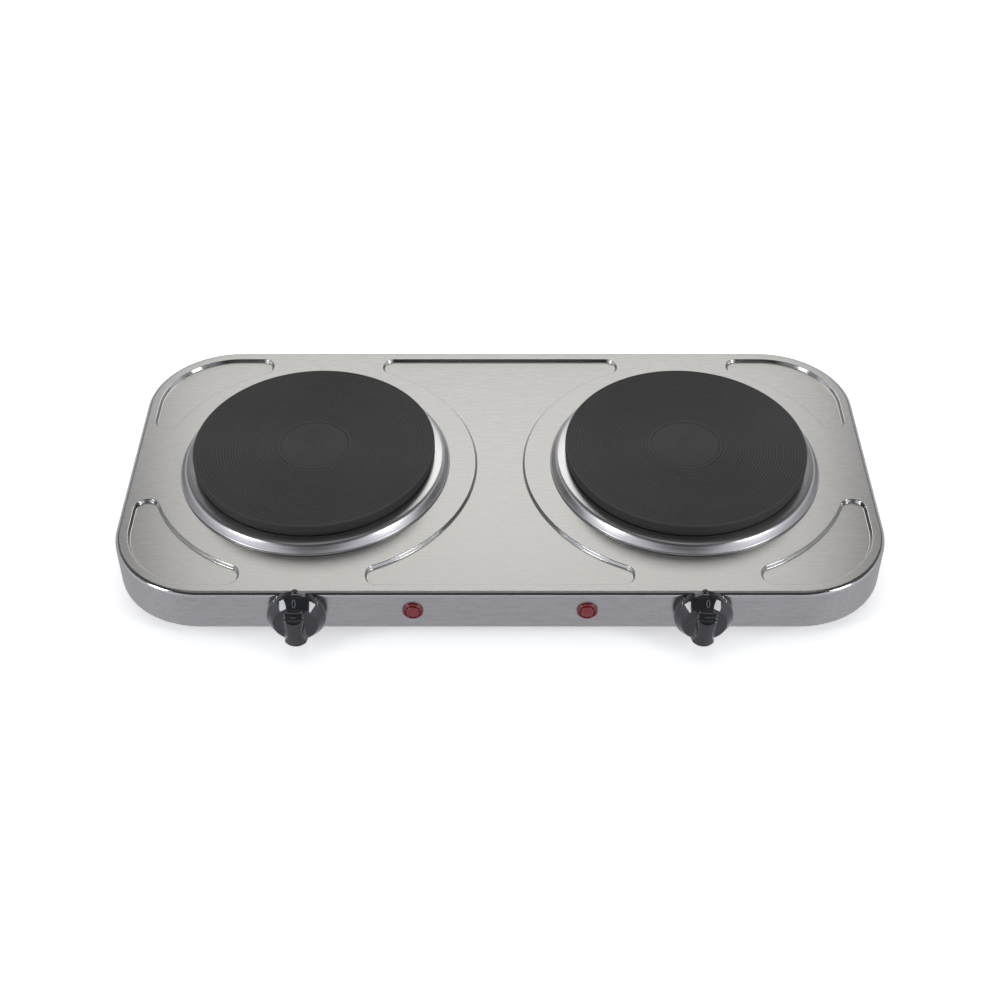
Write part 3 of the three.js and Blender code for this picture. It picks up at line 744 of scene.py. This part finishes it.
def screw(cad_node, name, head_r, head_h, shank_r, length):
    """A pan head with a cross recess, facing down, and its shank."""
    arm, wide, deep = head_r * 0.55, head_r * 0.13, head_h * 0.55
    sides = 48
    cross = []
    for i in range(4):
        a = TAU / 4 * i
        for r, across in ((arm, -wide), (arm, wide), (wide, wide)):
            cross.append((r * math.cos(a) - across * math.sin(a), r * math.sin(a) + across * math.cos(a)))
    flat_r = head_r * 0.72
    rim = [(x, y, -head_h) for x, y in arc(0, 0, flat_r, 0, TAU, sides)[:-1]]
    mouth = [(x, y, -head_h) for x, y in cross]
    floor = [(x * 0.8, y * 0.8, deep - head_h) for x, y in cross]
    face = (rim + mouth, filled(rim, [mouth]))
    recess = strips([mouth, floor])
    seat = (floor, filled(floor))
    outside = turned(softened([
        (flat_r, -head_h), (head_r, -head_h * 0.75, head_h * 0.4), (head_r, 0, 0.1), (shank_r, 0),
        (shank_r, length - 1), (shank_r * 0.5, length), (0, length),
    ], 4), sides)
    verts, faces = merged(outside, face, recess, seat)
    flat = set(range(len(outside[1]), len(faces)))
    middle, low = middle_mm(cad_node), box_mm(cad_node)[0]
    piece(name, verts, faces, ZINC, CABINET, [cad_node], flat=flat,
          place=(middle.x, middle.y, low.z + head_h))


# ---------- carried-over CAD nodes ----------
def paint(names, material):
    for name in names:
        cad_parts[name].data.materials.clear()
        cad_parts[name].data.materials.append(material)


def paint_inside():
    def both(*names):
        return [f"{side}_{name}" for side, _ in SIDES for name in names]

    paint(["base_plate", *both("heat_shield", "clamp_bridge")], GALVANISED)
    paint(["earth_screw", *both("plate_stud", "stud_nut", "spindle", "switch_screw_left",
                                "switch_screw_right")], ZINC)
    paint(["mains_terminal", *both("switch", "pilot_body")], SWITCH)
    paint(both("plate_terminal"), CERAMIC)
    paint(both("heating_element"), CEMENT)
    paint(both("plate_gasket"), FIBRE)
    paint(both("element_lead", "supply_lead", "lamp_lead"), SLEEVE)
    paint(["gland_nut"], BLACK)


# ---------- stage ----------
def camera():
    """Long lens, 42 degrees down, aimed at the tray's middle, level with its lower edge."""
    pitch, distance = math.radians(42.2), 1052.1
    aim = Vector((0, MID_Y, WALL_FOOT))
    at = aim + distance * Vector((0, -math.cos(pitch), math.sin(pitch)))
    data = bpy.data.cameras.new("camera")
    data.sensor_width = 36
    data.lens = 57.23
    data.shift_y = -0.0048
    data.clip_end = 50
    obj = bpy.data.objects.new("camera", data)
    obj.location = at * MM
    obj.rotation_euler = (math.pi / 2 - pitch, 0, 0)
    bpy.context.scene.collection.objects.link(obj)
    bpy.context.scene.camera = obj


def softbox(name, at, aim, size, radiance, colour=(1, 1, 1)):
    """A square-cornered panel of light, as bright as radiance says whatever its size."""
    data = bpy.data.lights.new(name, "AREA")
    data.shape = "RECTANGLE"
    data.size, data.size_y = size
    data.energy = radiance * math.pi * size[0] * size[1]
    data.color = colour
    obj = bpy.data.objects.new(name, data)
    obj.location = at
    obj.rotation_euler = (Vector(aim) - Vector(at)).to_track_quat("-Z", "Y").to_euler()
    bpy.context.scene.collection.objects.link(obj)
    return obj


def blend(tree, factor, first, second):
    """Two colours mixed. Inputs 6 and 7 and output 2 are the mix node's colour sockets."""
    mixed = node(tree, "ShaderNodeMix", data_type="RGBA")
    tree.links.new(factor, mixed.inputs["Factor"])
    tree.links.new(first, mixed.inputs[6])
    tree.links.new(second, mixed.inputs[7])
    return mixed.outputs[2]


def surroundings(scene):
    """Pale below, with a band round the horizon that is lowest straight in front of the object.

    Above the band it is dark, and grey again straight overhead. Along each ramp 0 is straight down,
    0.5 is level and 1 is overhead.
    """
    world = bpy.data.worlds.new("studio")
    scene.world = world
    world.use_nodes = True
    tree = world.node_tree
    way = node(tree, "ShaderNodeTexCoord").outputs["Generated"]
    parts = node(tree, "ShaderNodeSeparateXYZ", [("Vector", way)]).outputs
    height = spread(tree, parts["Z"], 0, 1, (-1, 1))
    below = ((0.15, (0.545, 0.54, 0.60)), (0.36, (0.66, 0.66, 0.74)), (0.52, (0.92, 0.92, 1.04)))
    dark, overhead = (0.05, 0.05, 0.055), (0.985, (0.4, 0.4, 0.4))
    ahead = ramp(tree, height, (*below, (0.57, (0.3, 0.3, 0.34)), (0.62, dark), (0.955, dark), overhead))
    beside = ramp(tree, height, (*below, (0.66, (0.92, 0.92, 1.04)), (0.71, dark), (0.955, dark), overhead))
    behind = ramp(tree, height, (
        (0.40, (0.55, 0.55, 0.60)), (0.55, (0.72, 0.72, 0.80)), (0.66, (0.62, 0.62, 0.67)),
        (0.76, (0.20, 0.20, 0.21)), (0.92, (0.07, 0.07, 0.07)), (0.955, (0.07, 0.07, 0.07)), overhead))
    sideways = node(tree, "ShaderNodeMath", [(0, parts["X"])], operation="ABSOLUTE").outputs[0]
    front = blend(tree, spread(tree, sideways, 0, 1, (0.25, 0.5)), ahead, beside)
    whole = blend(tree, spread(tree, parts["Y"], 0, 1, (-0.2, 0.35)), front, behind)
    tree.links.new(whole, tree.nodes["Background"].inputs["Color"])


def studio():
    scene = bpy.context.scene
    scene.view_settings.view_transform = "Standard"
    surroundings(scene)
    softbox("back_panel", (0, 0.94, 0.98), (0, 0, 0.03), (1.03, 0.52), 2.06, (1, 0.993, 0.972))
    softbox("left_box", (-1.03, -0.64, 0.63), (0, -0.05, 0.03), (0.34, 0.5), 9.5, (0.95, 0.97, 1))
    softbox("right_box", (1.03, -0.64, 0.63), (0, -0.05, 0.03), (0.34, 0.5), 9.5, (0.95, 0.97, 1))
    fill = softbox("fill", (0, 0.1, 2.4), (0, 0.1, 0), (3.5, 3.5), 0.8)
    fill.visible_glossy = False
    half = 4.0
    data = bpy.data.meshes.new("floor")
    corners = [(-half, -half, 0), (half, -half, 0), (half, half, 0), (-half, half, 0)]
    data.from_pydata(corners, [], [(0, 1, 2, 3)])
    floor = bpy.data.objects.new("floor", data)
    scene.collection.objects.link(floor)
    data.materials.append(grained("floor", (0.86, 0.86, 0.86), 0.9, 40, 0.01, 0.0,
                                  Emission_Color=(1, 1, 1, 1), Emission_Strength=0.42))
    floor.visible_glossy = False


camera()
studio()
tray()
for side, mirror in SIDES:
    hotplate(side, mirror * PLATE_X)
    spill_ring(side, mirror * PLATE_X)
    knob_x = middle_mm(f"{side}_spindle").x
    bezel(side, knob_x)
    knob(side, knob_x, RIGHT_KNOB_TURN if side == "right" else 0.0)
    lens(side, middle_mm(f"{side}_pilot_body").x)
for corner in CORNERS:
    foot(corner)
    screw(f"{corner}_foot_screw", f"{corner}_foot_fixing", 4.2, 2.4, 2.0, 10.5)
    screw(f"{corner}_base_screw", f"{corner}_base_fixing", 3.4, 1.7, 1.6, 7.0)
gland()
paint_inside()
